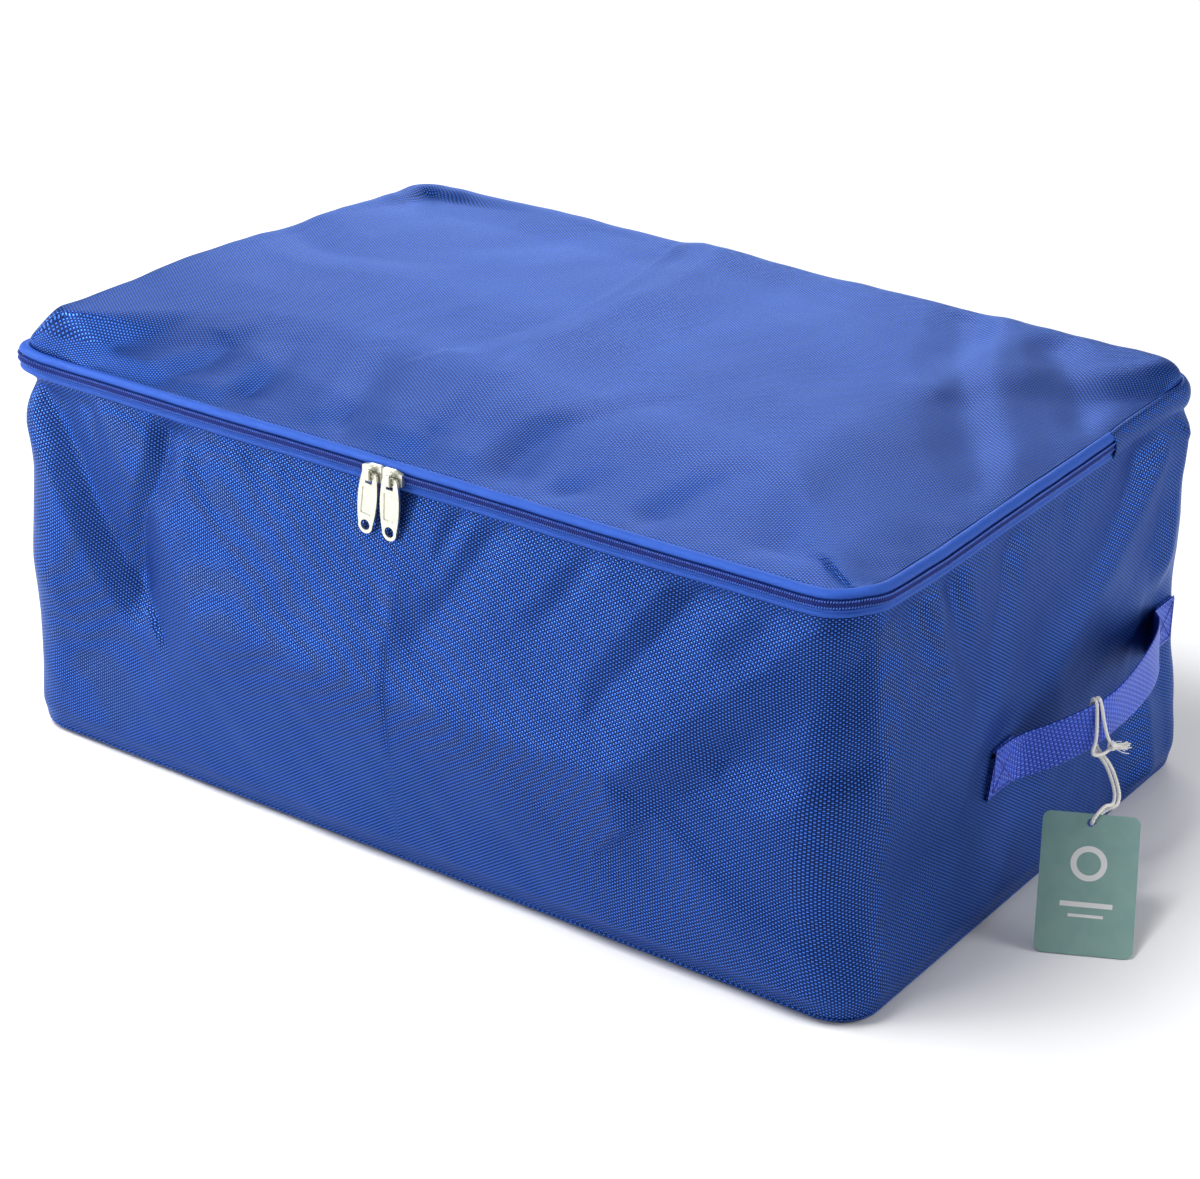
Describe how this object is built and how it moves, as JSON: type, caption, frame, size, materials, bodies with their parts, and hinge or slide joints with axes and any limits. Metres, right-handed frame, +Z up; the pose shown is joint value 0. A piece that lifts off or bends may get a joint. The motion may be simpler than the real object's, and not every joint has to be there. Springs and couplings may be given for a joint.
{
  "type": "under bed storage box",
  "caption": "Soft zipped under-bed storage box of woven fabric with a fold-back lid flap, coil zip with metal pulls, webbing end handles and a hang tag.",
  "frame": {"origin": "centre of the base, on the floor", "axes": "+X along the front towards the right end wall, front wall towards -Y, +Z up"},
  "size_m": [0.7332, 0.4121, 0.268],
  "materials": {
    "bag_fabric": "royal blue woven polyester, soft sheen",
    "zip_tape": "bright blue fine woven tape, satin",
    "zip_coil": "dark blue nylon coil, semi-gloss",
    "nickel": "pale nickel plating, satin",
    "webbing": "ribbed violet-blue webbing",
    "binding": "dark blue binding tape",
    "card": "grey-green printed card",
    "string": "off-white twisted cotton"
  },
  "bodies": {
    "bag": {"wall_band": "bag_fabric", "bottom_panel": "bag_fabric", "bottom_binding": "binding", "back_gusset": "bag_fabric", "lid_back": "bag_fabric", "zip_tape_lower": "zip_tape", "zip_coil_lower": "zip_coil", "handle_right_end_front": "webbing", "handle_right_end_back": "webbing", "handle_left_end_front": "webbing", "handle_left_end_back": "webbing"},
    "lid": {"lid_flap": "bag_fabric", "zip_tape_upper": "zip_tape", "zip_coil_upper": "zip_coil"},
    "left_slider": {"slider_left": "nickel", "slider_left_arch": "nickel"},
    "right_slider": {"slider_right": "nickel", "slider_right_arch": "nickel"},
    "left_pull": {"pull_left": "nickel"},
    "right_pull": {"pull_right": "nickel"},
    "right_handle": {"handle_right": "webbing", "string_hitch": "string", "string_knot": "string"},
    "left_handle": {"handle_left": "webbing"},
    "tag": {"hang_tag": "card", "string_tails": "string"}
  },
  "joints": [
    {"name": "lid_fold", "type": "hinge", "parent": "bag", "child": "lid", "pos_m": [0, 0.081, 0.268], "axis": [-1, 0, 0], "range_deg": [0, 160]},
    {"name": "left_slider_run", "type": "slide", "parent": "bag", "child": "left_slider", "axis": [-1, 0, 0], "range_m": [0, 0.245]},
    {"name": "right_slider_run", "type": "slide", "parent": "bag", "child": "right_slider", "axis": [1, 0, 0], "range_m": [0, 0.262]},
    {"name": "left_pull_swing", "type": "hinge", "parent": "left_slider", "child": "left_pull", "pos_m": [-0.0173, -0.2076, 0.2495], "axis": [-1, 0, 0], "range_deg": [0, 150]},
    {"name": "right_pull_swing", "type": "hinge", "parent": "right_slider", "child": "right_pull", "pos_m": [-0.0027, -0.2076, 0.2495], "axis": [-1, 0, 0], "range_deg": [0, 150]},
    {"name": "right_handle_lift", "type": "hinge", "parent": "bag", "child": "right_handle", "pos_m": [0.302, 0.072, 0.122], "axis": [0, -1, 0], "range_deg": [0, 70]},
    {"name": "left_handle_lift", "type": "hinge", "parent": "bag", "child": "left_handle", "pos_m": [-0.302, 0.072, 0.122], "axis": [0, 1, 0], "range_deg": [0, 70]},
    {"name": "tag_swing", "type": "hinge", "parent": "right_handle", "child": "tag", "pos_m": [0.332, 0.0275, 0.0895], "axis": [-0.8949, -0.4462, 0], "range_deg": [0, 60], "deforming": ["string_tails"]}
  ]
}
